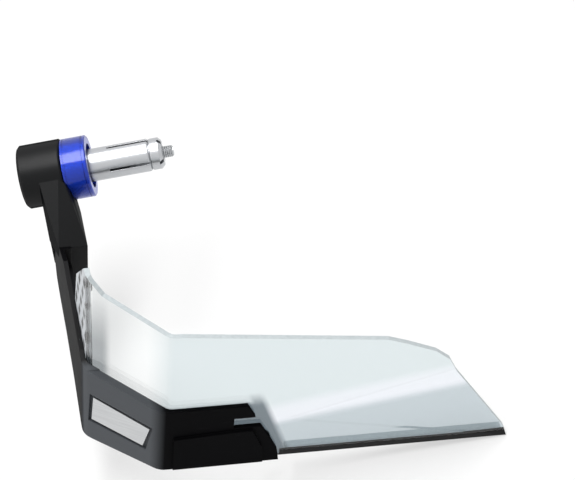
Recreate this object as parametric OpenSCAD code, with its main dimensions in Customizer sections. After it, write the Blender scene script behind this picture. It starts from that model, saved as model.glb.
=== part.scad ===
// Motorcycle hand guard with a clear wind deflector, left-hand side, clamped into the end of the handlebar.
// Millimetres. +X runs along the bar towards the middle of the motorcycle, -Y is forward, +Z is up.
// The origin is the centre of the collar's mouth, where the end of the bar comes to rest.

/* [Bar end] */
// Outer diameter of the collar
collar_d = 32; // [29:0.5:36]
// Length of the collar
collar_len = 13.5; // [12:0.5:18]
// Bore of the cup that takes the end of the bar
cup_d = 23; // [22.2:0.1:25]
// Depth of the cup
cup_depth = 5; // [3:0.5:7]
// Outer diameter of the expander sleeve
sleeve_d = 17; // [15.5:0.1:18.5]
// How far the sleeve stands out of the collar's mouth
sleeve_reach = 31; // [26:1:40]
// Number of slits in the sleeve
slit_count = 4; // [2:1:6]
// Width of one slit
slit_w = 1.4; // [0.8:0.1:2]
// Turn of the slits about the bar
slit_turn = -9; // [-45:1:45]
// Where the slits begin, measured from the collar's mouth
slit_start = 10; // [6:1:14]
// Length of the part of the wedge nut that stays outside the sleeve
wedge_head = 6.5; // [4:0.5:10]
// How far the wedge nut's cone enters the sleeve
wedge_cone = 11; // [8:1:15]
// Thread diameter of the clamp bolt
bolt_d = 6; // [5:0.5:6.5]
// How far the bolt's end stands out of the wedge nut
bolt_end = 5.5; // [2:0.5:10]

/* [Bracket] */
// Diameter of the bracket's hub
hub_d = 33; // [28:0.5:36]
// Length of the hub
hub_len = 22; // [20:0.5:28]
// Depth of the hole for the bolt's head
head_hole_depth = 10; // [8.5:0.5:12]
// Width of the arm where it leaves the hub
arm_w = 12.5; // [11:0.5:18]
// How far the kink lies in front of the bar
kink_fwd = 31; // [26:1:36]
// Height of the kink below the bar
kink_drop = 36; // [30:1:40]
// Height of the bracket's lug at the kink
lug_h = 30; // [26:1:34]
// Length of the lug, front to back
lug_len = 26; // [22:1:30]
// Thickness of the lug beside the blade
lug_t = 8.5; // [8:0.5:11]

/* [Blade] */
// How far the bar's outer end droops, seen against the blade
bar_rise = 13; // [8:0.5:16]
// How far the bar's outer end sweeps back, seen against the blade
bar_sweep = 7; // [3:0.5:10]
// Distance of the side wall outward from the origin
side_x = 21.5; // [20:0.5:24]
// Length of the side wall, from the bar to the corner
side_len = 127.8; // [120:1:140]
// Width of the corner facet, measured across the guard
corner_w = 32.4; // [28:0.5:38]
// Depth of the corner facet, front to back
corner_depth = 27.9; // [24:0.5:34]
// Length of the front wall
front_len = 57; // [52:1:64]
// Turn of the front wall towards the front
front_yaw = 2.4; // [0:0.2:5]
// Thickness of the side wall where it is ribbed
blade_t = 6; // [5:0.5:7.5]
// Thickness of the side wall in front of the clear sheet
skin_side = 2.2; // [1.8:0.1:3]
// Thickness of the corner facet, which holds the badge
skin_facet = 4; // [3.4:0.1:5]
// Thickness of the front wall
skin_front = 2.2; // [1.8:0.1:3]
// Level of the blade's bottom edge below the bar
blade_drop = 60; // [56:1:66]
// Height of the blade at the side corner
side_h = 46; // [42:1:50]
// Height of the blade's front wall
front_h = 40; // [36:1:44]
// Depth of the pockets inside the side wall
pocket_depth = 3.4; // [2:0.2:4]
// Level of the ribs' top above the bar
rib_top = -30; // [-34:1:-26]
// How far the lower half of the front wall stands proud
ridge_step = 1.4; // [0.6:0.2:2]

/* [Badge] */
// Depth of the badge's recess
recess_depth = 1.6; // [1:0.1:2.2]
// Thickness of the badge plate
badge_t = 1.4; // [0.8:0.1:2]
// Margin between the plate and the edge of its recess
badge_margin = 1.8; // [1:0.1:3]

/* [Wind deflector] */
// Thickness of the clear sheet
sheet_t = 2.5; // [2:0.1:3.2]
// Height of the sheet's top above the bar at the side fold
fold_top = 40; // [34:1:46]
// Height of the sheet's top above the bar at the front fold
front_top = 26.2; // [22:1:30]
// Height of the sheet's top above the bar at its inner end
end_top = 14.5; // [10:1:18]
// Length of the side flap
flap_len = 44; // [38:1:50]
// Reach of the sheet's lower tip along the front
tip_reach = 168; // [160:1:180]
// How far the lower tip flares forward
tip_flare = 8; // [4:1:12]
// Width of the stiffening lip along the bottom edge
lip_w = 5; // [3:0.5:8]

/* [Screws] */
// Thread diameter of the deflector's screws
shield_screw_d = 4; // [3:0.5:5]
// Thread diameter of the bracket's screw
bracket_screw_d = 6; // [5:0.5:6.5]
// Diameter of the bosses that pass through the clear sheet
boss_d = 9; // [8:0.5:11]

/* [Hidden] */
$fn = 64;

// Clearances and small sizes
fit_gap = 0.15;          // round pieces that pass through one another
seat_gap = 0.1;          // flat faces that are screwed together
collar_clear = 0.6;      // room between the collar and the arm
edge = 1.2;              // chamfer on the turned edges
cut = 1;                 // how far a cutter runs past a face

// Levels and lengths along the bar
hub_inner = -collar_len;
hub_outer = -collar_len - hub_len;
spigot_d = 20;
spigot_len = 2;
head_d = 10;
head_h = 6;
key_af = 5;
key_depth = 3.2;
head_hole_d = 12.6;
washer_t = 1.6;
washer_d = 12;
lock_t = 1.5;
lock_d = 11.2;
head_floor = hub_outer + head_hole_depth;
sleeve_seat = 1;
sleeve_end = sleeve_reach;
nut_end = sleeve_end + 0.3 + wedge_head;
bolt_tip = nut_end + bolt_end;
cone_small = sleeve_d * 0.6;
cone_big = sleeve_d - 2.4;

// The blade's outer path, seen from above: side wall, corner facet, front wall
corner_a = [-side_x, -side_len];
corner_b = [-side_x + corner_w, -side_len - corner_depth];
front_dir = [cos(front_yaw), -sin(front_yaw)];
blade_end = corner_b + front_dir * front_len;
facet_yaw = -atan2(corner_depth, corner_w);
facet_len = norm(corner_b - corner_a);
corner_r = 9;
sheet_r = 6;
wall_skin = [skin_side, skin_facet, skin_front];
sheet_front = [for (d = wall_skin) d + seat_gap];
sheet_back = [for (d = sheet_front) d + sheet_t];
sheet_start = [-side_x, -side_len + flap_len];
top_side = side_h - blade_drop;
top_front = front_h - blade_drop;

// The lug: the bracket's end beside the blade's tail
lug_x0 = -side_x + blade_t + seat_gap;
lug_x1 = lug_x0 + lug_t;
lug_y0 = -kink_fwd - lug_len / 2 + 6;
lug_y1 = lug_y0 + lug_len;
lug_z0 = -kink_drop - lug_h / 2;
lug_z1 = -kink_drop + lug_h / 2;

// The blade's tail slides into a room in the lug's outer side, under the arm's upper web
lug_front = -lug_y0;
room_back = 4 - lug_y1;
room_top = lug_z1 - 6;
tail_back = room_back + seat_gap;
tail_top = room_top - seat_gap;
tail_start = [-side_x, -tail_back];

// Screw places: [distance along the wall, height]
bracket_at = [kink_fwd - 1, -kink_drop - 1];
flap_at = [side_len - 14, -30];
corner_at = [facet_len / 2, (top_side + top_front) / 2 - 10];
end_at = [front_len - 10.5, -blade_drop + 12];
insert_gap = 0.1;
insert_cover = 1.1;
bracket_bore = 4.6;
bracket_washer_d = 2.1 * bracket_screw_d;
lug_back = blade_t + seat_gap + lug_t;
screw_washer_t = 1;

function unit(v) = v / norm(v);
function left(v) = [-v.y, v.x];

// The crossing of the line through p along a with the line through q along b
function crossing(p, a, q, b) = p + a * (((q - p).x * b.y - (q - p).y * b.x) / (a.x * b.y - a.y * b.x));

// A corner's arc: the points that round the corner b of the path a, b, c
function arc(a, b, c, r, n = 5) =
    let (u = unit(a - b), v = unit(c - b), half = acos(u * v) / 2)
    let (reach = r / tan(half), mid = b + unit(u + v) * r / sin(half))
    let (from = b + u * reach - mid, to = b + v * reach - mid)
    let (a0 = atan2(from.y, from.x), sweep = atan2(from.x * to.y - from.y * to.x, from * to))
    [for (i = [0:n]) mid + r * [cos(a0 + sweep * i / n), sin(a0 + sweep * i / n)]];

// The wall's path moved inward by the depths d of its three walls, with both corners rounded by r
function wall_path(start, finish, d, r) =
    let (s_dir = [0, -1], c_dir = unit(corner_b - corner_a))
    let (ca = crossing(corner_a + left(s_dir) * d[0], s_dir, corner_a + left(c_dir) * d[1], c_dir))
    let (cb = crossing(corner_b + left(c_dir) * d[1], c_dir, corner_b + left(front_dir) * d[2], front_dir))
    let (p = start + left(s_dir) * d[0], q = finish + left(front_dir) * d[2])
    concat([p], arc(p, ca, cb, r), arc(ca, cb, q, r), [q]);

function reversed(list) = [for (i = [len(list) - 1:-1:0]) list[i]];

// A band of wall between two sets of depths behind the outer face
module wall_band(start, finish, d0, r0, d1, r1) {
    polygon(concat(wall_path(start, finish, d0, r0), reversed(wall_path(start, finish, d1, r1))));
}

// The guard stands upright while the bar droops and sweeps back at its outer end
module upright() {
    rotate([0, bar_rise, 0])
        rotate([0, 0, bar_sweep])
            children();
}

// Drawings on a wall: x runs along it, y is height, and depth goes outward
module on_side() {
    translate([-side_x, 0, 0])
        rotate([0, 0, -90])
            rotate([90, 0, 0])
                children();
}

module on_facet() {
    translate([corner_a.x, corner_a.y, 0])
        rotate([0, 0, facet_yaw])
            rotate([90, 0, 0])
                children();
}

module on_front() {
    translate([corner_b.x, corner_b.y, 0])
        rotate([0, 0, -front_yaw])
            rotate([90, 0, 0])
                children();
}

// A turned piece along the bar's axis, from its [x, radius] outline
module turned(outline) {
    rotate([0, 90, 0])
        rotate_extrude()
            polygon([for (p = outline) [p[1], p[0]]]);
}

module rod(x0, x1, d) {
    translate([x0, 0, 0])
        rotate([0, 90, 0])
            cylinder(h = x1 - x0, d = d);
}

module hub() {
    turned([[hub_outer, 0], [hub_outer, hub_d / 2 - edge], [hub_outer + edge, hub_d / 2],
            [hub_inner - edge / 2, hub_d / 2], [hub_inner, hub_d / 2 - edge / 2],
            [hub_inner, spigot_d / 2 - fit_gap], [hub_inner + spigot_len, spigot_d / 2 - fit_gap],
            [hub_inner + spigot_len, 0]]);
}

module lug_block() {
    upright()
        translate([-side_x, lug_y0, lug_z0])
            cube([lug_x1 + side_x, lug_len, lug_h]);
}

module arm() {
    hull() {
        rod(hub_inner - arm_w, hub_inner - edge, hub_d - 2 * edge, $fn = 48);
        lug_block();
    }
}

// Lightening pockets with ribs between them on the inner face of the bracket
module bracket_pockets() {
    pocket_w = 6.2;
    rib = 1.8;
    upright()
        on_side()
            for (i = [0:1], j = [0:1])
                translate([kink_fwd - 20 + i * 16, lug_z0 + 3.5 + j * 17, -blade_t - lug_t - cut])
                    linear_extrude(height = 4 + cut)
                        square([pocket_w, 10 - rib]);
}

module tail_room() {
    upright()
        on_side()
            translate([0, 0, -blade_t - seat_gap])
                linear_extrude(height = 30)
                    translate([room_back, lug_z0 - 30])
                        square([lug_len + 30, room_top - lug_z0 + 30]);
}

// The arm with the room that its hull would take from the collar
module cleared_arm() {
    difference() {
        arm();
        rod(hub_inner - edge / 2, 2 * cut, collar_d + 2 * collar_clear);
    }
}

module hub_bracket() {
    color("#1c1d1f")
        difference() {
            union() {
                hub();
                cleared_arm();
            }
            tail_room();
            rod(hub_outer - cut, hub_inner + spigot_len + cut, bolt_d + 2 * fit_gap);
            rod(hub_outer - cut, head_floor, head_hole_d);
            bracket_pockets();
            screw_hole("side", bracket_at, bracket_screw_d + 0.6, 40);
            upright()
                on_side()
                    translate([bracket_at[0], bracket_at[1], -lug_back - 20])
                        cylinder(h = 20 + bracket_bore, d = bracket_washer_d + 0.8);
        }
}

module collar() {
    groove = 0.6;
    r = collar_d / 2;
    color("#2a56c8")
        difference() {
            turned([[-collar_len, 0], [-collar_len, r - edge / 2], [-collar_len + edge / 2, r],
                    [-collar_len + 1.6, r], [-collar_len + 1.6, r - groove], [-collar_len + 2.2, r - groove],
                    [-collar_len + 2.2, r], [-2.2, r], [-2.2, r - groove], [-1.6, r - groove], [-1.6, r],
                    [-edge / 2, r], [0, r - edge / 2], [0, 0]]);
            rod(-collar_len - cut, -collar_len + spigot_len + 0.2, spigot_d);
            rod(-cup_depth, cut, cup_d);
            rod(-cup_depth - sleeve_seat, cut, sleeve_d + 2 * fit_gap);
            rod(-collar_len, 0, bolt_d + 2 * fit_gap);
        }
}

module expander_sleeve() {
    r = sleeve_d / 2;
    sleeve_start = -cup_depth - sleeve_seat;
    color("#d8dadc")
        difference() {
            turned([[sleeve_start, 0], [sleeve_start, r - sleeve_seat], [-cup_depth, r],
                    [sleeve_end - 0.6, r], [sleeve_end, r - 0.6],
                    [sleeve_end, 0]]);
            rod(sleeve_start - cut, sleeve_end + cut, bolt_d + 2 * fit_gap);
            translate([sleeve_end - wedge_cone, 0, 0])
                rotate([0, 90, 0])
                    cylinder(h = wedge_cone + 0.01, d1 = cone_small + 2 * fit_gap,
                             d2 = cone_big + 2 * fit_gap);
            for (i = [0:slit_count - 1])
                rotate([slit_turn + i * 360 / slit_count, 0, 0])
                    translate([slit_start, 0, -slit_w / 2])
                        cube([sleeve_end - slit_start + cut, r + cut, slit_w]);
        }
}

module wedge_nut() {
    r = sleeve_d / 2 - 0.3;
    color("#e6e7e8")
        difference() {
            turned([[sleeve_end - wedge_cone + 0.3, 0], [sleeve_end - wedge_cone + 0.3, cone_small / 2],
                    [sleeve_end, cone_big / 2 - 0.1], [sleeve_end + 0.3, cone_big / 2 - 0.1],
                    [sleeve_end + 0.3, r - 0.5], [sleeve_end + 0.8, r], [nut_end - 1.6, r],
                    [nut_end, r - 1.6], [nut_end, 0]]);
            rod(sleeve_end - wedge_cone - cut, nut_end + cut, bolt_d + 2 * 0.05);
            for (i = [0:1])
                rotate([90 * i, 0, 0])
                    translate([nut_end - 2, -r - cut, -1])
                        cube([2 + cut, 2 * r + 2 * cut, 2]);
        }
}

module clamp_bolt() {
    head_x = head_floor - washer_t - lock_t;
    color("#c9ccd0")
        difference() {
            union() {
                turned([[head_x - head_h, 0], [head_x - head_h, head_d / 2 - 0.5],
                        [head_x - head_h + 0.5, head_d / 2], [head_x, head_d / 2], [head_x, 0]]);
                turned([[head_x - 0.1, 0], [head_x - 0.1, bolt_d / 2], [bolt_tip - 0.8, bolt_d / 2],
                        [bolt_tip, bolt_d / 2 - 0.8], [bolt_tip, 0]]);
            }
            translate([head_x - head_h - cut, 0, 0])
                rotate([0, 90, 0])
                    cylinder(h = key_depth + cut, d = key_af / cos(30), $fn = 6);
        }
}

module ring(x0, x1, d_out, d_in) {
    difference() {
        rod(x0, x1, d_out);
        rod(x0 - cut, x1 + cut, d_in);
    }
}

module bolt_washer() {
    color("#b9bcc0")
        ring(head_floor - washer_t, head_floor, washer_d, bolt_d + 2 * fit_gap);
}

module lock_washer() {
    color("#a9acb0")
        difference() {
            ring(head_floor - washer_t - lock_t, head_floor - washer_t, lock_d, bolt_d + 2 * fit_gap);
            rotate([20, 0, 0])
                translate([head_floor - washer_t - lock_t - cut, 0, -0.4])
                    cube([lock_t + 2 * cut, lock_d, 0.8]);
        }
}

// Outlines of the blade's three walls
module side_outline() {
    polygon([[tail_back, tail_top], [lug_front + seat_gap, tail_top], [lug_front + seat_gap, lug_z1 + 1],
             [kink_fwd + 26, top_side + 2],
             [side_len - 10, top_side + 2], [side_len, top_side], [side_len + 1.5, top_side - 0.3],
             [side_len + 1.5, -blade_drop - 2], [side_len - 6, -blade_drop], [side_len - 34, -blade_drop + 5],
             [kink_fwd + 34, -blade_drop + 7], [kink_fwd + 8, lug_z0 - 3], [kink_fwd - 6, lug_z0 - 2],
             [tail_back, lug_z0 + 4]]);
}

// The facet's top slopes on past both corners, under the side's top and then under the front's
module facet_outline() {
    overlap = 6;
    step = (top_side - top_front) * overlap / facet_len;
    polygon([[-overlap, top_side + step], [facet_len + overlap, top_front - step],
             [facet_len + overlap, -blade_drop - 3], [-overlap, -blade_drop - 3]]);
}

// The front wall ends in two lobes with a slot between them
slot_top = -blade_drop + 32;
slot_low = -blade_drop + 25.4;
module front_outline() {
    polygon([[-6, top_front], [front_len - 17, top_front], [front_len - 13, slot_top],
             [front_len - 23, slot_top], [front_len - 23, slot_low], [front_len - 10, slot_low],
             [front_len - 5.5, slot_low - 8.5],
             [front_len - 1, -blade_drop + 7], [front_len, -blade_drop], [front_len, -blade_drop - 4],
             [-6, -blade_drop - 4]]);
}

// Ribbed pockets in the inner face of the side wall
module side_pockets() {
    count = 3;
    pitch = 13;
    rib = 2.2;
    pocket_h = rib_top - 3 + blade_drop - 11;
    for (i = [0:count - 1])
        translate([kink_fwd + 13 + i * pitch, -blade_drop + 11, -blade_t - cut])
            linear_extrude(height = pocket_depth + cut)
                polygon([[0, 0], [pitch - rib, 0], [pitch - rib, pocket_h], [3, pocket_h], [0, pocket_h - 4]]);
}

// Room behind the thin skin: above the ribs, and where the clear sheet passes
module skin_room() {
    deep = blade_t + 1;
    on_side()
        translate([0, 0, -deep])
            linear_extrude(height = deep - skin_side)
                translate([lug_front + 3, rib_top])
                    square([side_len - flap_len - lug_front - 2, blade_drop]);
    translate([0, 0, -blade_drop - cut])
        linear_extrude(height = blade_drop + 30)
            wall_band(sheet_start + [0, 1], blade_end + front_dir * 5, wall_skin, sheet_r + seat_gap,
                      [deep, deep, deep], 1);
}

// Bosses that pass through the clear sheet and hold the inserts
module bosses() {
    boss("side", flap_at, skin_side);
    boss("facet", corner_at, skin_facet);
    boss("front", end_at, skin_front);
}

module boss(wall, at, skin) {
    bite = 0.6;
    on_wall(wall)
        translate([at[0], at[1], -boss_end(skin)])
            cylinder(h = boss_end(skin) - skin + bite, d = boss_d);
}

function boss_end(skin) = skin + sheet_t;

// The badge's recess and plate: a slanted four-sided field, drawn smaller by the margin m
module badge_field(m) {
    translate([0, -blade_drop])
        polygon([[4 + m, 31 - m], [facet_len - 4.5 - m, 27 - m], [facet_len - 8 - m, 10 + m], [3 + m, 12 + m]]);
}

module ridge_pad() {
    bite = 0.5;
    on_front()
        translate([0, 0, -bite])
            linear_extrude(height = ridge_step + bite)
                polygon([[6, -blade_drop + 22], [front_len - 23, slot_low - 1.5],
                         [front_len - 14, slot_low - 1.5], [front_len - 9, -blade_drop + 12],
                         [front_len - 8, -blade_drop + 1],
                         [6, -blade_drop + 1]]);
}

module blade_walls() {
    intersection() {
        translate([0, 0, -blade_drop])
            linear_extrude(height = blade_drop + 30)
                wall_band(tail_start, blade_end + front_dir * 3, [0, 0, 0], corner_r,
                          [blade_t, blade_t, blade_t], corner_r - blade_t);
        union() {
            on_side() linear_extrude(height = 60, center = true) side_outline();
            on_facet() linear_extrude(height = 24, center = true) facet_outline();
            on_front() linear_extrude(height = 24, center = true) front_outline();
        }
    }
}

module screw_hole(wall, at, d, depth) {
    upright()
        if (wall == "side")
            on_side() translate([at[0], at[1], -depth]) cylinder(h = depth + cut, d = d);
        else if (wall == "facet")
            on_facet() translate([at[0], at[1], -depth]) cylinder(h = depth + cut, d = d);
        else
            on_front() translate([at[0], at[1], -depth]) cylinder(h = depth + cut, d = d);
}

module guard_blade() {
    color("#26282b")
        upright()
            difference() {
                union() {
                    difference() {
                        blade_walls();
                        skin_room();
                    }
                    ridge_pad();
                    bosses();
                }
                on_side() side_pockets();
                on_facet()
                    translate([0, 0, -recess_depth])
                        linear_extrude(height = recess_depth + cut)
                            badge_field(0);
                insert_room("side", bracket_at, bracket_screw_d, blade_t);
                insert_room("side", flap_at, shield_screw_d, boss_end(skin_side));
                insert_room("facet", corner_at, shield_screw_d, boss_end(skin_facet));
                insert_room("front", end_at, shield_screw_d, boss_end(skin_front));
            }
}

module badge_plate() {
    color("#c9cbcd")
        upright()
            on_facet()
                translate([0, 0, -recess_depth])
                    linear_extrude(height = badge_t)
                        badge_field(badge_margin);
}

// The deflector's main pane. Points are [along the front wall, height]; the tip's facets lean forward.
crease_a = [front_len + 4, -35];
crease_b = [tip_reach - 29, -10.5];
low_a = [front_len + 3, -blade_drop + 0.5];
tip_low = [tip_reach, -blade_drop + 9.5];
tip_high = [tip_reach - 2, -blade_drop + 15];
pane_start = 8;
pane_top = [[pane_start, front_top], [tip_reach - 65, end_top], [tip_reach - 55.5, 10.8], [tip_reach - 41, 4.2],
            [tip_reach - 33.5, -2]];

// Distance of a point from the crease, as a share of the tip's own distance
function crease_gap(p) = (p - crease_a) * unit(left(crease_b - crease_a));
function lean(p) = tip_flare * crease_gap(p) / crease_gap(tip_low);

module main_pane() {
    flat = concat(pane_top, [crease_b, crease_a, low_a, [pane_start, -blade_drop + 1]]);
    tilted = [crease_a, crease_b, tip_high, tip_low];
    front = -sheet_front[2];
    on_front() {
        translate([0, 0, front - sheet_t])
            linear_extrude(height = sheet_t)
                polygon(flat);
        tilted_pane(tilted, [for (p = tilted) lean(p)], front);
        tilted_pane([crease_a, tip_low, low_a], [0, tip_flare, 0], front);
        seam([pane_start, -blade_drop + 1], pane_top[0], front);
        seam(crease_a, crease_b, front);
        seam(low_a, crease_a, front);
        bottom_lip(front);
    }
}

// Joins two fields of the sheet where they meet in a line, within the sheet's thickness
module seam(a, b, front) {
    inset = 2 * unit(b - a);
    side = 0.5 * left(unit(b - a));
    cover = 0.3;
    translate([0, 0, front - sheet_t + cover])
        linear_extrude(height = sheet_t - 2 * cover)
            polygon([a + inset + side, a + inset - side, b - inset - side, b - inset + side]);
}

// A lip turned inward along the bottom edge, from the blade's end to the tip
module bottom_lip(front) {
    rise = 0.3;
    lip_t = sheet_t - 0.3;
    ends = [for (k = [0.01, 0.98]) low_a + (tip_low - low_a) * k];
    leans = [for (k = [0.01, 0.98]) tip_flare * k];
    polyhedron(
        points = [for (i = [0:1]) for (c = [[0, 0], [lip_t, 0], [lip_t, 1], [0, 1]])
                  [ends[i].x, ends[i].y + rise + c[0], front + leans[i] - 0.5 - c[1] * (sheet_t - 0.5 + lip_w)]],
        faces = [[0, 3, 2, 1], [4, 5, 6, 7], [0, 1, 5, 4], [1, 2, 6, 5], [2, 3, 7, 6], [3, 0, 4, 7]]);
}

// A flat pane whose corners stand forward by the given leans
module tilted_pane(corners, leans, depth0) {
    n = len(corners);
    polyhedron(
        points = concat([for (i = [0:n - 1]) [corners[i].x, corners[i].y, depth0 + leans[i]]],
                        [for (i = [0:n - 1]) [corners[i].x, corners[i].y, depth0 + leans[i] - sheet_t]]),
        faces = concat([[for (i = [0:n - 1]) i]], [[for (i = [n - 1:-1:0]) n + i]],
                       [for (i = [0:n - 1]) [i, n + i, n + (i + 1) % n, (i + 1) % n]]));
}

module wind_shield() {
    fold = side_len - sheet_back[1];
    bend = [8, fold_top - 7];
    facet_fall = (bend.y - front_top) / (facet_len - 2 - bend.x);
    color("#cfe0e4", 0.45)
        difference() {
            upright()
                union() {
                    intersection() {
                        translate([0, 0, -blade_drop - 5])
                            linear_extrude(height = blade_drop + 5 + fold_top)
                                wall_band(sheet_start, corner_b + front_dir * 14, sheet_front, sheet_r,
                                          sheet_back, sheet_r - sheet_t);
                        union() {
                            on_side() linear_extrude(height = 60, center = true)
                                polygon(concat([[side_len - flap_len + 7, fold_top - 29], [fold - 3, fold_top],
                                                [fold, fold_top + 0.8], [fold, -blade_drop + 8],
                                                [side_len - 14, -blade_drop + 13]],
                                               arc([side_len - 14, -blade_drop + 13], [side_len - flap_len, -38],
                                                   [side_len - flap_len, -14], 8),
                                               [[side_len - flap_len, -14]]));
                            on_facet() linear_extrude(height = 50, center = true)
                                polygon([[-6, fold_top - 7], [-2.6, fold_top], [0, fold_top + 0.2], bend,
                                         [facet_len + 2, front_top - 4 * facet_fall],
                                         [facet_len + 2, -blade_drop + 0.5], [0, -blade_drop + 8],
                                         [-6, -blade_drop + 14]]);
                            on_front() linear_extrude(height = 50, center = true)
                                polygon([[-2, front_top], [pane_start, front_top], [pane_start, -blade_drop + 1],
                                         [-2, -blade_drop + 1]]);
                        }
                    }
                    main_pane();
                }
            screw_hole("side", flap_at, boss_d + 0.6, 30);
            screw_hole("facet", corner_at, boss_d + 0.6, 30);
            screw_hole("front", end_at, boss_d + 0.6, 30);
        }
}

// Fasteners. Each stands on the inner side and points outward into a brass insert in the blade.
function insert_d(d) = d + 2;
function insert_len(depth) = depth - insert_cover;

module on_wall(wall) {
    if (wall == "side") on_side() children();
    else if (wall == "facet") on_facet() children();
    else on_front() children();
}

module insert_room(wall, at, d, depth) {
    on_wall(wall)
        translate([at[0], at[1], -depth - cut])
            cylinder(h = insert_len(depth) + cut, d = insert_d(d) + 2 * insert_gap);
}

module insert(wall, at, d, depth) {
    color("#b9964a")
        upright()
            on_wall(wall)
                translate([at[0], at[1], -depth])
                    difference() {
                        cylinder(h = insert_len(depth) - insert_gap, d = insert_d(d));
                        translate([0, 0, -cut])
                            cylinder(h = depth + 2 * cut, d = d + 0.1);
                    }
}

module washer(wall, at, d, under, outer) {
    color("#3a3b3d")
        upright()
            on_wall(wall)
                translate([at[0], at[1], -under - seat_gap - screw_washer_t])
                    difference() {
                        cylinder(h = screw_washer_t, d = outer);
                        translate([0, 0, -cut])
                            cylinder(h = screw_washer_t + 2 * cut, d = d + 0.4);
                    }
}

// A button-head screw; it reaches through its insert, whose inner end lies at the given depth
module screw(wall, at, d, under, depth) {
    seat = under + seat_gap + screw_washer_t;
    reach = seat - depth + insert_len(depth) - 0.4;
    color("#d0d3d6")
        upright()
            on_wall(wall)
                translate([at[0], at[1], -seat])
                    difference() {
                        rotate_extrude()
                            polygon([[0, -0.6 * d], [0.45 * d, -0.6 * d], [0.8 * d, -0.35 * d],
                                     [0.9 * d, -0.1 * d], [0.9 * d, 0], [d / 2, 0], [d / 2, reach - 0.5],
                                     [d / 2 - 0.5, reach], [0, reach]]);
                        translate([0, 0, -0.6 * d - cut])
                            cylinder(h = 0.35 * d + cut, d = 0.6 * d / cos(30), $fn = 6);
                    }
}

bracket_under = lug_back - bracket_bore;
clamp_washer_d = boss_d + 4;
module bracket_screw() { screw("side", bracket_at, bracket_screw_d, bracket_under, blade_t); }
module bracket_washer() { washer("side", bracket_at, bracket_screw_d, bracket_under, bracket_washer_d); }
module bracket_insert() { insert("side", bracket_at, bracket_screw_d, blade_t); }
module flap_screw() { screw("side", flap_at, shield_screw_d, sheet_back[0], boss_end(skin_side)); }
module flap_washer() { washer("side", flap_at, shield_screw_d, sheet_back[0], clamp_washer_d); }
module flap_insert() { insert("side", flap_at, shield_screw_d, boss_end(skin_side)); }
module corner_screw() { screw("facet", corner_at, shield_screw_d, sheet_back[1], boss_end(skin_facet)); }
module corner_washer() { washer("facet", corner_at, shield_screw_d, sheet_back[1], clamp_washer_d); }
module corner_insert() { insert("facet", corner_at, shield_screw_d, boss_end(skin_facet)); }
module end_screw() { screw("front", end_at, shield_screw_d, sheet_back[2], boss_end(skin_front)); }
module end_washer() { washer("front", end_at, shield_screw_d, sheet_back[2], clamp_washer_d); }
module end_insert() { insert("front", end_at, shield_screw_d, boss_end(skin_front)); }

hub_bracket();
collar();
expander_sleeve();
wedge_nut();
clamp_bolt();
lock_washer();
bolt_washer();
guard_blade();
badge_plate();
wind_shield();
bracket_screw();
bracket_washer();
bracket_insert();
flap_screw();
flap_washer();
flap_insert();
corner_screw();
corner_washer();
corner_insert();
end_screw();
end_washer();
end_insert();
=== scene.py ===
import math

import bpy
from mathutils import Matrix, Vector


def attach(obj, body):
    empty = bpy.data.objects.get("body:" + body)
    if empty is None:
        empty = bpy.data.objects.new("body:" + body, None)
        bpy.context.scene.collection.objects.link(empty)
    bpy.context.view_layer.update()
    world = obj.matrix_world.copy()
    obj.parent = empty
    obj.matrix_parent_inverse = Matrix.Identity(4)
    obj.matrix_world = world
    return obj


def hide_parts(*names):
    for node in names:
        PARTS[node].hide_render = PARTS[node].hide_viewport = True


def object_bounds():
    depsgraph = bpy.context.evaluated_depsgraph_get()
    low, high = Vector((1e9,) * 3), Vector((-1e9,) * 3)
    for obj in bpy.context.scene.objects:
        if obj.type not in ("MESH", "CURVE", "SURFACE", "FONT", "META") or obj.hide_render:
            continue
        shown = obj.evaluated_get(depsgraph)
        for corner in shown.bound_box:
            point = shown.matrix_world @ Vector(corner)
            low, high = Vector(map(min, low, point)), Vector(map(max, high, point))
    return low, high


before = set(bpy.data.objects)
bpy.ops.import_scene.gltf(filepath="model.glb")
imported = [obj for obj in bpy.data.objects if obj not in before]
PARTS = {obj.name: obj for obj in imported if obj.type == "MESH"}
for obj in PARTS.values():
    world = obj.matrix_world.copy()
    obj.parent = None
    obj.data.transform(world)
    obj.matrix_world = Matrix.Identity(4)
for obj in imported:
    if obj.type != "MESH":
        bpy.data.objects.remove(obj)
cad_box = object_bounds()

# Floor and studio
# A white sheet of paper lies under the guard, and white walls stand round it.
# Matt paper gives a soft shadow and no gloss.


def colour(code):
    """An sRGB hex colour as the linear colour that the shader wants."""
    srgb = [int(code[i:i + 2], 16) / 255 for i in (1, 3, 5)]
    linear = [c / 12.92 if c <= 0.04045 else ((c + 0.055) / 1.055) ** 2.4 for c in srgb]
    return (*linear, 1.0)


def add(tree, kind, inputs=None, **settings):
    """Adds a shader node with its settings, and fills its inputs with values or with links."""
    made = tree.nodes.new("ShaderNode" + kind)
    for key, value in settings.items():
        setattr(made, key, value)
    for socket, value in (inputs or {}).items():
        if isinstance(value, bpy.types.NodeSocket):
            tree.links.new(value, made.inputs[socket])
        else:
            made.inputs[socket].default_value = value
    return made


def empty_material(name):
    material = bpy.data.materials.new(name)
    material.use_nodes = True
    material.node_tree.nodes.clear()
    return material, material.node_tree


def seen_rays(tree):
    """1 where the eye, a gloss or a clear sheet looks, and 0 for the light on the object."""
    path = add(tree, "LightPath")
    direct = add(tree, "Math", {0: path.outputs["Is Camera Ray"], 1: path.outputs["Is Glossy Ray"]},
                 operation="MAXIMUM")
    through = add(tree, "Math", {0: direct.outputs[0], 1: path.outputs["Is Transmission Ray"]},
                  operation="MAXIMUM")
    return through.outputs[0]


gap_under_guard = 0.0005
floor_z = cad_box[0][2] - gap_under_guard
bpy.ops.mesh.primitive_plane_add(size=6, location=(0.1, -0.1, floor_z))
floor = bpy.context.object
floor.name = "paper_floor"
paper, tree = empty_material("matt_white_paper")
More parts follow.
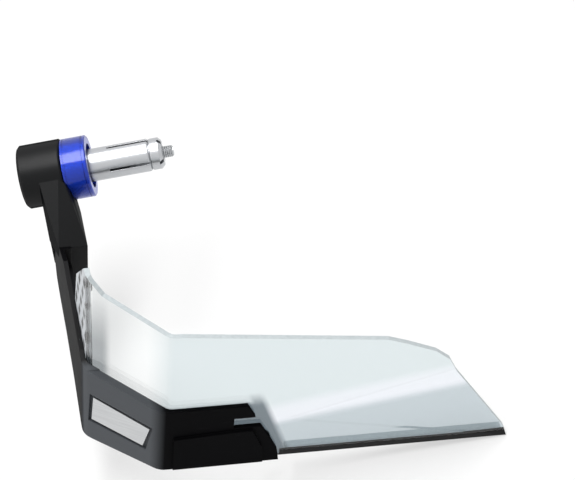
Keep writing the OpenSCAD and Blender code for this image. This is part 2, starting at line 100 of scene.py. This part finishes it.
# Paper fibres, drawn about 1 mm long.
fibre = add(tree, "TexNoise", {"Vector": add(tree, "TexCoord").outputs["Object"], "Scale": 900.0})
tone = add(tree, "Mix", {"Factor": fibre.outputs["Fac"], "A": colour("#f4f4f3"), "B": colour("#f7f7f7")},
           data_type="RGBA")
matt = add(tree, "BsdfDiffuse", {"Color": tone.outputs["Result"]})
lit = add(tree, "Emission", {"Color": (1, 1, 1, 1), "Strength": 1.0})
lit_share = add(tree, "Math", {0: seen_rays(tree), 1: 0.5}, operation="MULTIPLY")
both = add(tree, "MixShader", {0: lit_share.outputs[0], 1: matt.outputs[0], 2: lit.outputs[0]})
add(tree, "OutputMaterial", {"Surface": both.outputs[0]})
floor.data.materials.append(paper)

world = bpy.data.worlds.new("white_walls")
world.use_nodes = True
bpy.context.scene.world = world
tree = world.node_tree
tree.nodes.clear()
wall_light = 0.55
strength = add(tree, "MapRange", {"Value": seen_rays(tree), "To Min": wall_light, "To Max": 1.0})
walls = add(tree, "Background", {"Color": (1, 1, 1, 1), "Strength": strength.outputs[0]})
add(tree, "OutputWorld", {"Surface": walls.outputs[0]})


def lamp(name, place, target, width, depth, watts):
    data = bpy.data.lights.new(name, "AREA")
    data.shape = "RECTANGLE"
    data.size = width
    data.size_y = depth
    data.energy = watts
    obj = bpy.data.objects.new(name, data)
    bpy.context.collection.objects.link(obj)
    aim = (Vector(place) - Vector(target)).normalized()
    obj.matrix_world = Matrix.Translation(place) @ aim.to_track_quat("Z", "Y").to_matrix().to_4x4()


middle = (0.06, -0.09, -0.01)
lamp("soft_box_above", (-0.1, -0.05, 1.15), middle, 1.1, 0.28, 11.0)
lamp("soft_box_left", (-1.0, -0.5, 0.45), middle, 0.7, 0.7, 3.0)

# The camera looks down on the guard from the front, a little rolled.
eye = Vector((0.10972, -0.62228, 0.50240))
right = Vector((0.98391, -0.10579, -0.14443))
up = Vector((0.17776, 0.67284, 0.71801))
toward = Vector((0.02112, -0.73211, 0.68080))
camera_data = bpy.data.cameras.new("photo_camera")
camera_data.sensor_fit = "HORIZONTAL"
camera_data.sensor_width = 36.0
camera_data.lens = 97.17
camera = bpy.data.objects.new("photo_camera", camera_data)
bpy.context.collection.objects.link(camera)
turn = Matrix((right, up, toward)).transposed().to_4x4()
camera.matrix_world = Matrix.Translation(eye) @ turn
bpy.context.scene.camera = camera
bpy.context.scene.view_settings.view_transform = "Standard"

# Hub bracket
# One moulding of black glass-filled nylon: the hub that meets the collar, and the arm down to the kink.
# Moulded nylon has a fine even grain and a satin gloss.


def moulded_nylon(name, dark, light, rough_low, rough_high):
    material, tree = empty_material(name)
    place = add(tree, "TexCoord").outputs["Object"]
    # The mould's grain is about 0.2 mm, drawn at 0.8 mm so that it shows.
    grain = add(tree, "TexNoise", {"Vector": place, "Scale": 1250.0, "Detail": 2.0})
    # Flow marks are about 2 cm long.
    flow = add(tree, "TexNoise", {"Vector": place, "Scale": 45.0, "Detail": 3.0})
    tone = add(tree, "Mix", {"Factor": flow.outputs["Fac"], "A": colour(dark), "B": colour(light)},
               data_type="RGBA")
    rough = add(tree, "MapRange", {"Value": flow.outputs["Fac"], "To Min": rough_low, "To Max": rough_high})
    # The mould leaves every edge rounded by about half a millimetre.
    edges = add(tree, "Bevel", {"Radius": 0.0005}, samples=8)
    relief = add(tree, "Bump", {"Height": grain.outputs["Fac"], "Strength": 0.25, "Distance": 0.0001,
                                "Normal": edges.outputs[0]})
    # The grain shades itself at low angles, so the gloss fades there.
    facing = add(tree, "LayerWeight", {"Blend": 0.5})
    gloss = add(tree, "MapRange", {"Value": facing.outputs["Facing"], "From Min": 0.3, "From Max": 0.72,
                                   "To Min": 0.16, "To Max": 0.003})
    nylon = add(tree, "BsdfPrincipled", {
        "Base Color": tone.outputs["Result"], "Roughness": rough.outputs[0], "IOR": 1.53,
        "Specular IOR Level": gloss.outputs[0], "Normal": relief.outputs[0]})
    add(tree, "OutputMaterial", {"Surface": nylon.outputs[0]})
    return material


def dress(part, material):
    obj = PARTS[part]
    obj.data.materials.clear()
    obj.data.materials.append(material)


black_nylon = moulded_nylon("moulded_black_nylon", "#08090a", "#0e0f11", 0.34, 0.44)
dress("hub_bracket", black_nylon)

# Collar
# A turned ring of aluminium, anodised blue, with a fine knurl and a groove near each end.
# Anodising leaves the metal's sheen, coloured through.


def blue_anodised():
    material, tree = empty_material("blue_anodised_aluminium")
    xyz = add(tree, "SeparateXYZ", {0: add(tree, "TexCoord").outputs["Object"]})
    turn_angle = add(tree, "Math", {0: xyz.outputs["Z"], 1: xyz.outputs["Y"]}, operation="ARCTAN2")
    # 80 knurl teeth round a collar of 32 mm stand 1.25 mm apart, and as far apart along it.
    teeth = 80
    collar_d = 0.032
    pitch = math.pi * collar_d / teeth
    round_way = add(tree, "Math", {0: turn_angle.outputs[0], 1: float(teeth)}, operation="MULTIPLY")
    long_way = add(tree, "Math", {0: xyz.outputs["X"], 1: 2 * math.pi / pitch}, operation="MULTIPLY")
    one = add(tree, "Math", {0: round_way.outputs[0], 1: long_way.outputs[0]}, operation="ADD")
    two = add(tree, "Math", {0: round_way.outputs[0], 1: long_way.outputs[0]}, operation="SUBTRACT")
    wave_one = add(tree, "Math", {0: one.outputs[0]}, operation="SINE")
    wave_two = add(tree, "Math", {0: two.outputs[0]}, operation="SINE")
    knurl = add(tree, "Math", {0: wave_one.outputs[0], 1: wave_two.outputs[0]}, operation="MULTIPLY")
    relief = add(tree, "Bump", {"Height": knurl.outputs[0], "Strength": 0.35, "Distance": 0.0002})
    height = add(tree, "MapRange", {"Value": knurl.outputs[0], "From Min": -1.0})
    tone = add(tree, "Mix", {"Factor": height.outputs[0], "A": colour("#10289a"), "B": colour("#1a3fb6")},
               data_type="RGBA")
    # The oxide film on the metal is clear and hard, and reflects white.
    metal = add(tree, "BsdfPrincipled", {
        "Base Color": tone.outputs["Result"], "Metallic": 1.0, "Roughness": 0.26,
        "Normal": relief.outputs[0], "Coat Weight": 0.5, "Coat Roughness": 0.12, "Coat IOR": 1.6})
    add(tree, "OutputMaterial", {"Surface": metal.outputs[0]})
    return material


dress("collar", blue_anodised())

# Expander plug
# A slit aluminium sleeve, the wedge nut that spreads it and a zinc-plated steel bolt.
# Turning leaves fine rings round the bar's axis; zinc plating is a little milky.


def turned_aluminium():
    material, tree = empty_material("turned_aluminium")
    place = add(tree, "TexCoord").outputs["Object"]
    # Tool marks 0.15 mm apart, drawn 0.5 mm apart so that they just show.
    rings = add(tree, "TexWave", {"Vector": place, "Scale": 600.0, "Distortion": 0.6, "Detail": 1.0},
                wave_type="BANDS", bands_direction="X")
    tone = add(tree, "Mix", {"Factor": rings.outputs["Fac"], "A": colour("#b9bbbe"), "B": colour("#c6c8cb")},
               data_type="RGBA")
    edges = add(tree, "Bevel", {"Radius": 0.0002}, samples=8)
    relief = add(tree, "Bump", {"Height": rings.outputs["Fac"], "Strength": 0.05, "Distance": 0.0001,
                                "Normal": edges.outputs[0]})
    metal = add(tree, "BsdfPrincipled", {
        "Base Color": tone.outputs["Result"], "Metallic": 1.0, "Roughness": 0.28,
        "Normal": relief.outputs[0]})
    add(tree, "OutputMaterial", {"Surface": metal.outputs[0]})
    return material


def zinc_plate(name, thread_pitch=None):
    material, tree = empty_material(name)
    place = add(tree, "TexCoord").outputs["Object"]
    # The milky patches of the plating are about 2.5 mm wide.
    bloom = add(tree, "TexNoise", {"Vector": place, "Scale": 400.0, "Detail": 3.0})
    tone = add(tree, "Mix", {"Factor": bloom.outputs["Fac"], "A": colour("#b4b7ba"), "B": colour("#d8dadc")},
               data_type="RGBA")
    rough = add(tree, "MapRange", {"Value": bloom.outputs["Fac"], "To Min": 0.22, "To Max": 0.4})
    plated = add(tree, "BsdfPrincipled", {
        "Base Color": tone.outputs["Result"], "Metallic": 1.0, "Roughness": rough.outputs[0]})
    if thread_pitch:
        # A wave texture of scale s repeats every 2 pi / (20 s) metres.
        thread_scale = 2 * math.pi / (20 * thread_pitch)
        turns = add(tree, "TexWave", {"Vector": place, "Scale": thread_scale},
                    wave_type="BANDS", bands_direction="X")
        relief = add(tree, "Bump", {"Height": turns.outputs["Fac"], "Strength": 1.0, "Distance": 0.0005})
        tree.links.new(relief.outputs[0], plated.inputs["Normal"])
    add(tree, "OutputMaterial", {"Surface": plated.outputs[0]})
    return material


bare_aluminium = turned_aluminium()
zinc_steel = zinc_plate("zinc_plated_steel")
for part in ("expander_sleeve", "wedge_nut"):
    dress(part, bare_aluminium)
for part in ("lock_washer", "bolt_washer"):
    dress(part, zinc_steel)
m6_pitch = 0.001
dress("clamp_bolt", zinc_plate("zinc_plated_thread", m6_pitch))

# Guard blade
# The second black nylon moulding: side wall, corner facet and front wall.
# The corner facet round the badge is painted grey, a painted reflection of a light surface; the nylon itself
# is black.

GUARD_TILT = math.radians(13)
GUARD_SWEEP = math.radians(7)


def upright_place(tree):
    """Object coordinates turned so that the guard's walls stand upright."""
    place = add(tree, "TexCoord").outputs["Object"]
    turned = add(tree, "Mapping", {"Vector": place, "Rotation": (0, -GUARD_TILT, -GUARD_SWEEP)})
    return turned.outputs[0]


# The facet starts in front of the side wall, 126 mm ahead of the bar, and ends where the front wall begins.
side_wall_end = -0.1235
facet_start = -0.1275
facet_end = 0.0065
front_wall_start = 0.0130

blade_nylon = moulded_nylon("moulded_blade_nylon", "#060607", "#0c0c0e", 0.36, 0.46)
tree = blade_nylon.node_tree
spot = add(tree, "SeparateXYZ", {0: upright_place(tree)})
ahead = add(tree, "MapRange", {"Value": spot.outputs["Y"], "From Min": side_wall_end,
                               "From Max": facet_start})
across = add(tree, "MapRange", {"Value": spot.outputs["X"], "From Min": front_wall_start,
                                "From Max": facet_end})
# Painted reflection: the facet's mask, where the black nylon is painted grey for the light surface that its
# face reflects.
facet_painted_reflection = add(tree, "Math", {0: ahead.outputs[0], 1: across.outputs[0]}, operation="MULTIPLY")
shader = next(node for node in tree.nodes if node.type == "BSDF_PRINCIPLED")
black = shader.inputs["Base Color"].links[0].from_socket
# The painted reflection's grey, #4a4d51, is mixed in over the facet.
tone = add(tree, "Mix", {"Factor": facet_painted_reflection.outputs[0], "A": black, "B": colour("#4a4d51")}, data_type="RGBA")
tree.links.new(tone.outputs["Result"], shader.inputs["Base Color"])
# The front wall looks blacker than the side wall, as only an eighth as much haze lies on it.
front_haze = 0.12
haze = shader.inputs["Specular IOR Level"].links[0].from_socket
behind = add(tree, "MapRange", {"Value": spot.outputs["Y"], "From Min": facet_start,
                                "From Max": side_wall_end})
elsewhere = add(tree, "Math", {0: across.outputs[0], 1: behind.outputs[0]}, operation="MAXIMUM")
haze_share = add(tree, "MapRange", {"Value": elsewhere.outputs[0], "To Min": front_haze, "To Max": 1.0})
fine = add(tree, "Math", {0: haze, 1: haze_share.outputs[0]}, operation="MULTIPLY")
tree.links.new(fine.outputs[0], shader.inputs["Specular IOR Level"])
dress("guard_blade", blade_nylon)

# Badge plate
# A small bare plate of brushed aluminium, glued into the recess of the corner facet.
# Brushing draws fine lines along the plate.


def brushed_aluminium():
    material, tree = empty_material("brushed_aluminium")
    place = add(tree, "TexCoord").outputs["Object"]
    # Brush lines 0.3 mm wide and about 17 mm long.
    stretched = add(tree, "Mapping", {"Vector": place, "Scale": (60.0, 60.0, 3000.0)})
    lines = add(tree, "TexNoise", {"Vector": stretched.outputs[0], "Scale": 1.0, "Detail": 2.0})
    tone = add(tree, "Mix", {"Factor": lines.outputs["Fac"], "A": colour("#a9abad"), "B": colour("#d9dadb")},
               data_type="RGBA")
    relief = add(tree, "Bump", {"Height": lines.outputs["Fac"], "Strength": 0.15, "Distance": 0.0001})
    metal = add(tree, "BsdfPrincipled", {
        "Base Color": tone.outputs["Result"], "Metallic": 1.0, "Roughness": 0.36,
        "Normal": relief.outputs[0]})
    add(tree, "OutputMaterial", {"Surface": metal.outputs[0]})
    return material


dress("badge_plate", brushed_aluminium())

# Wind deflector
# One sheet of clear polycarbonate, folded at the two corners and creased at its inner end.
# Its broad faces stay glossy and the sawn edges are frosted; the bottom edge and a narrow band up both faces
# are painted black, a painted dark reflection of the dark surroundings.
# The side flap is frosted too, printed with a hatch of slanted dashes, and painted darker towards the bottom
# as painted shade of the black wall behind it.

# The bottom edge's line on the front wall, from the blade's end to the flared tip, in metres.
EDGE_FROM = Vector((0.0709, -0.0595))
EDGE_RISE = 0.009 / 0.108
# Height of the painted dark reflection along the bottom edge.
DARK_EDGE_HEIGHT = 0.0035


def tint_and_painted_reflection(tree, place, main):
    """Tint and painted reflection: nearly nothing in the corner facet, a light tint in the main pane and a
    deeper painted reflection in the flared strip.
    """
    # The strip rises to the tip at a slope of 0.205, with a paler painted highlight band along its upper
    # side.
    along = add(tree, "VectorMath", {0: place, 1: (-0.205, 0, 1)}, operation="DOT_PRODUCT")
    above = add(tree, "MapRange", {"Value": along.outputs["Value"], "From Min": -0.0540, "From Max": -0.0300})
    bands = add(tree, "ValToRGB", {0: above.outputs[0]})
    steps = bands.color_ramp.elements
    strip_painted_reflection, painted_highlight_band = steps
    # Painted reflection: the flared strip is painted deeper for the dark it mirrors, and the paler band is a
    # painted highlight.
    strip_painted_reflection.position = 0.07
    strip_painted_reflection.color = colour("#c6d0d5")
    painted_highlight_band.position = 0.24
    painted_highlight_band.color = colour("#f0f3f9")
    steps.new(0.55).color = colour("#eef2f7")
    steps.new(0.8).color = colour("#dfe8ea")
    tint = add(tree, "Mix", {"Factor": main, "A": colour("#fafcfc"), "B": bands.outputs["Color"]},
               data_type="RGBA")
    return tint.outputs["Result"]


def painted_reflection_share(tree, place, spot, main):
    """Painted reflection: the side fold and the blade's lobes mirror the black walls, so the sheet is painted
    smoky grey beside them.
    """
    by_fold = add(tree, "MapRange", {"Value": spot.outputs["X"], "From Min": -0.0090, "From Max": -0.0115})
    down = add(tree, "MapRange", {"Value": spot.outputs["Z"], "From Min": 0.0300, "From Max": 0.0020,
                                  "To Min": 0.08, "To Max": 0.62})
    fold_shade = add(tree, "Math", {0: by_fold.outputs[0], 1: down.outputs[0]}, operation="MULTIPLY")
    # The lobes' ends lie on a slanting line; the slot between them shows more of the sheet.
    lobe_line = add(tree, "VectorMath", {0: place, 1: (1, 0, 0.37)}, operation="DOT_PRODUCT").outputs["Value"]
    by_lobes = add(tree, "MapRange", {"Value": lobe_line, "From Min": 0.0535, "From Max": 0.0500})
    past_lobes = add(tree, "MapRange", {"Value": lobe_line, "From Min": 0.0440, "From Max": 0.0470})
    in_slot = add(tree, "MapRange", {"Value": spot.outputs["Z"], "From Min": -0.0200, "From Max": -0.0215})
    lower = add(tree, "MapRange", {"Value": spot.outputs["Z"], "From Min": -0.0145, "From Max": -0.0230})
    near_lobes = add(tree, "Math", {0: past_lobes.outputs[0], 1: in_slot.outputs[0]}, operation="MAXIMUM")
    ends = add(tree, "Math", {0: by_lobes.outputs[0], 1: near_lobes.outputs[0]}, operation="MULTIPLY")
    beside = add(tree, "Math", {0: ends.outputs[0], 1: main}, operation="MULTIPLY")
    lobe_shade = add(tree, "Math", {0: beside.outputs[0], 1: lower.outputs[0]}, operation="MULTIPLY")
    shade = add(tree, "Math", {0: fold_shade.outputs[0], 1: lobe_shade.outputs[0]}, operation="MAXIMUM")
    return shade.outputs[0]


def painted_dark_edge(tree, place, spot):
    """1 where the bottom edge's painted dark reflection reaches up both faces, from the blade's end to the
    tip.
    """
    over_edge = add(tree, "VectorMath", {0: place, 1: (-EDGE_RISE, 0, 1)}, operation="DOT_PRODUCT")
    dark_edge_top = EDGE_FROM.y - EDGE_RISE * EDGE_FROM.x + DARK_EDGE_HEIGHT
    low = add(tree, "Math", {0: over_edge.outputs["Value"], 1: dark_edge_top}, operation="LESS_THAN")
    past_blade = add(tree, "Math", {0: spot.outputs["X"], 1: EDGE_FROM.x - 0.002}, operation="GREATER_THAN")
    painted = add(tree, "Math", {0: low.outputs[0], 1: past_blade.outputs[0]}, operation="MULTIPLY")
    return painted.outputs[0]


def clear_polycarbonate():
    material, tree = empty_material("clear_polycarbonate")
    place = upright_place(tree)
    spot = add(tree, "SeparateXYZ", {0: place})
    in_main = add(tree, "MapRange", {"Value": spot.outputs["X"], "From Min": 0.006, "From Max": 0.016})
    main = in_main.outputs[0]
    # Painted reflection: the sheet is mixed towards grey #6f7a81 where it mirrors the black walls.
    painted_reflection_grey = add(tree, "Mix", {"Factor": painted_reflection_share(tree, place, spot, main),
                              "A": tint_and_painted_reflection(tree, place, main), "B": colour("#6f7a81")}, data_type="RGBA")
    # Drawing the sheet leaves it very slightly wavy, over about 3 cm.
    draw = add(tree, "TexNoise", {"Vector": place, "Scale": 30.0, "Detail": 1.0})
    relief = add(tree, "Bump", {"Height": draw.outputs["Fac"], "Strength": 0.05, "Distance": 0.0005})
    clear = add(tree, "BsdfPrincipled", {
        "Base Color": painted_reflection_grey.outputs["Result"], "Transmission Weight": 1.0, "Roughness": 0.02, "IOR": 1.585,
        "Normal": relief.outputs[0]})
    # Painted dark reflection: black over the bottom edge's band.
    dark_edge_paint = add(tree, "BsdfPrincipled", {
        "Base Color": colour("#050506"), "Roughness": 0.35, "IOR": 1.5, "Specular IOR Level": 0.2})
    with_dark_edge = add(tree, "MixShader", {0: painted_dark_edge(tree, place, spot), 1: clear.outputs[0],
                                     2: dark_edge_paint.outputs[0]})
    add(tree, "OutputMaterial", {"Surface": with_dark_edge.outputs[0]})
    return material


def edge_finish(name, dark, light, rough):
    material, tree = empty_material(name)
    place = add(tree, "TexCoord").outputs["Object"]
    # Saw marks, drawn about 1.4 mm wide so that they show.
    scratch = add(tree, "TexNoise", {"Vector": place, "Scale": 700.0, "Detail": 2.0})
    tone = add(tree, "Mix", {"Factor": scratch.outputs["Fac"], "A": colour(dark), "B": colour(light)},
               data_type="RGBA")
    edge = add(tree, "BsdfPrincipled", {
        "Base Color": tone.outputs["Result"], "Roughness": rough, "IOR": 1.585})
    add(tree, "OutputMaterial", {"Surface": edge.outputs[0]})
    return material


def printed_flap():
    material, tree = empty_material("printed_frosted_polycarbonate")
    place = add(tree, "SeparateXYZ", {0: upright_place(tree)})
    # Dashes about 8 mm long and 4 mm wide that lean forward, on the flap's upper part.
    on_wall = add(tree, "CombineXYZ", {0: place.outputs["Z"], 1: place.outputs["Y"]})
    leaning = add(tree, "Mapping", {"Vector": on_wall.outputs[0], "Rotation": (0, 0, math.radians(28))})
    dashes = add(tree, "TexBrick", {
        "Vector": leaning.outputs[0], "Color1": (1, 1, 1, 1), "Color2": (0.7, 0.7, 0.7, 1),
        "Mortar": (0, 0, 0, 1), "Scale": 1.0, "Mortar Size": 0.0024, "Mortar Smooth": 0.1,
        "Brick Width": 0.0130, "Row Height": 0.0086})
    high = add(tree, "MapRange", {"Value": place.outputs["Z"], "From Min": -0.018, "From Max": -0.008})
    ink = add(tree, "Math", {0: dashes.outputs["Color"], 1: high.outputs[0]}, operation="MULTIPLY")
    # Painted shade: the frost is painted darker towards the bottom, for the black blade wall behind the flap.
    frost_and_painted_shade = add(tree, "Mix", {"Factor": high.outputs[0], "A": colour("#8d9398"), "B": colour("#c9cdd1")},
                data_type="RGBA")
    tone = add(tree, "Mix", {"Factor": ink.outputs[0], "A": frost_and_painted_shade.outputs["Result"], "B": colour("#0f1113")},
               data_type="RGBA")
    frosted = add(tree, "BsdfPrincipled", {
        "Base Color": tone.outputs["Result"], "Transmission Weight": 0.2, "Roughness": 0.55, "IOR": 1.585,
        "Specular IOR Level": 0.12})
    add(tree, "OutputMaterial", {"Surface": frosted.outputs[0]})
    return material


FACET_YAW = math.radians(-40.73)
FRONT_YAW = math.radians(-2.4)
SIDE_FACE = Vector((1, 0, 0))
FACET_FACE = Vector((math.sin(FACET_YAW), -math.cos(FACET_YAW), 0))
FRONT_FACE = Vector((math.sin(FRONT_YAW), -math.cos(FRONT_YAW), 0))
SIDE_FOLD = -0.010
FLAP_END = -0.0165
CLEAR, SAWN, PAINTED_DARK_EDGE, PRINTED = range(4)


def finish_of(spot, facing):
    """Which of the sheet's four finishes a face has, from its place and the way it faces; one is the bottom
    edge's painted dark reflection.
    """
    # A broad face lies within about 32 degrees of a wall; the flap's printed faces within 14.
    walls_near = (SIDE_FACE, FACET_FACE) if spot.x < SIDE_FOLD else (FACET_FACE, FRONT_FACE)
    is_broad = max(abs(facing.dot(wall)) for wall in walls_near) > 0.85
    if is_broad and spot.x < FLAP_END and abs(facing.x) > 0.97:
        return PRINTED
    if is_broad:
        return CLEAR
    # Faces turned down get the painted dark reflection.
    faces_down = facing.z < -0.5
    return PAINTED_DARK_EDGE if faces_down else SAWN


def folded_sheet():
    cad = PARTS["wind_shield"]
    sheet = bpy.data.objects.new("clear_sheet", cad.data.copy())
    bpy.context.collection.objects.link(sheet)
    sheet.matrix_world = cad.matrix_world
    sheet.data.materials.clear()
    for material in (clear_polycarbonate(),
                     edge_finish("sawn_polycarbonate_edge", "#aab3b6", "#cdd4d6", 0.5),
                     # The bottom edge's faces are painted black, a painted dark reflection.
                     edge_finish("black_edge_painted_reflection", "#08090a", "#121315", 0.35),
                     printed_flap()):
        sheet.data.materials.append(material)
    upright = (Matrix.Rotation(GUARD_TILT, 3, "Y") @ Matrix.Rotation(GUARD_SWEEP, 3, "Z")).transposed()
    for face in sheet.data.polygons:
        face.material_index = finish_of(upright @ face.center, upright @ face.normal)
    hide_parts("wind_shield")
    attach(sheet, "root")


folded_sheet()

# Screws
# Button-head screws of zinc-plated steel, nylon washers under them and brass inserts in the blade.
# Brass is warm and softly shiny, and the knurl that grips the nylon is hidden.


def turned_brass():
    material, tree = empty_material("turned_brass")
    place = add(tree, "TexCoord").outputs["Object"]
    # The metal's tone wanders a little, over about 3 mm.
    bloom = add(tree, "TexNoise", {"Vector": place, "Scale": 300.0, "Detail": 2.0})
    tone = add(tree, "Mix", {"Factor": bloom.outputs["Fac"], "A": colour("#b08a45"), "B": colour("#d0aa60")},
               data_type="RGBA")
    metal = add(tree, "BsdfPrincipled", {
        "Base Color": tone.outputs["Result"], "Metallic": 1.0, "Roughness": 0.3})
    add(tree, "OutputMaterial", {"Surface": metal.outputs[0]})
    return material


brass = turned_brass()
washer_nylon = moulded_nylon("moulded_washer_nylon", "#141415", "#1d1d1f", 0.45, 0.55)
for where in ("bracket", "flap", "corner", "end"):
    dress(where + "_screw", zinc_steel)
    dress(where + "_washer", washer_nylon)
    dress(where + "_insert", brass)
